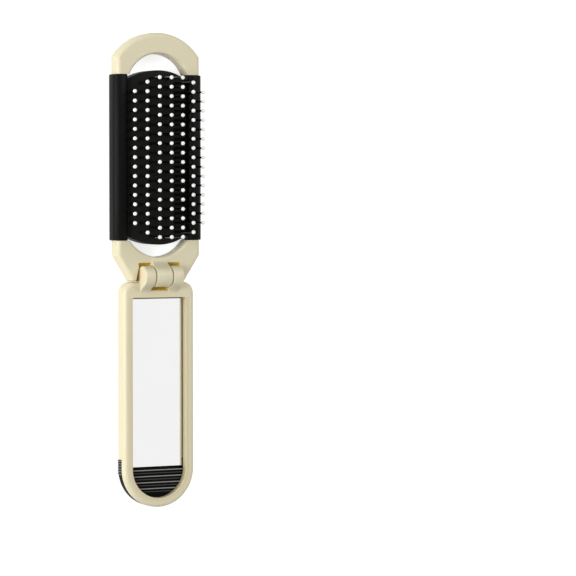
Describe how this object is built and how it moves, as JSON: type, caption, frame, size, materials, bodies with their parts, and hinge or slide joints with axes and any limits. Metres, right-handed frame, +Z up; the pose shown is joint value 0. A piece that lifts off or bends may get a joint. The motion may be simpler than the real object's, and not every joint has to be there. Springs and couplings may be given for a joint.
{
  "type": "folding hairbrush with mirror",
  "caption": "Pocket hairbrush: ball-tipped pins on a domed pad in an arched head, hinged to a slim handle that holds a mirror and folds over the pins.",
  "frame": {"origin": "centre of the footprint of the open brush, on the surface that it lies on", "axes": "+Y along the brush towards the head arch, +X across it, +Z up out of the mirror and the pins"},
  "size_m": [0.0388, 0.1906, 0.0206],
  "materials": {
    "cream_shell": "satin moulded plastic",
    "black_shell": "satin moulded plastic",
    "black_pins": "smooth moulded nylon",
    "white_tips": "glossy moulded balls",
    "pin_steel": "drawn wire",
    "mirror_glass": "silvered glass",
    "tape_foam": "double-sided foam tape",
    "grip_black": "satin grip plastic"
  },
  "bodies": {
    "head": {"head_frame": "cream_shell", "front_shell": "black_shell", "back_shell": "black_shell", "pin_strip_1": "black_pins", "pin_strip_2": "black_pins", "pin_strip_3": "black_pins", "pin_strip_4": "black_pins", "pin_strip_5": "black_pins", "pin_strip_6": "black_pins", "pin_strip_7": "black_pins", "ball_tips_1": "white_tips", "ball_tips_2": "white_tips", "ball_tips_3": "white_tips", "ball_tips_4": "white_tips", "ball_tips_5": "white_tips", "ball_tips_6": "white_tips", "ball_tips_7": "white_tips"},
    "handle": {"handle_frame": "cream_shell", "handle_back": "cream_shell", "mirror": "mirror_glass", "mirror_tape": "tape_foam", "end_grip": "grip_black", "hinge_pin": "pin_steel"}
  },
  "joints": [
    {"name": "fold", "type": "hinge", "parent": "head", "child": "handle", "pos_m": [0, -0.00235, 0.0097], "axis": [-1, 0, 0], "range_deg": [0, 155]}
  ]
}
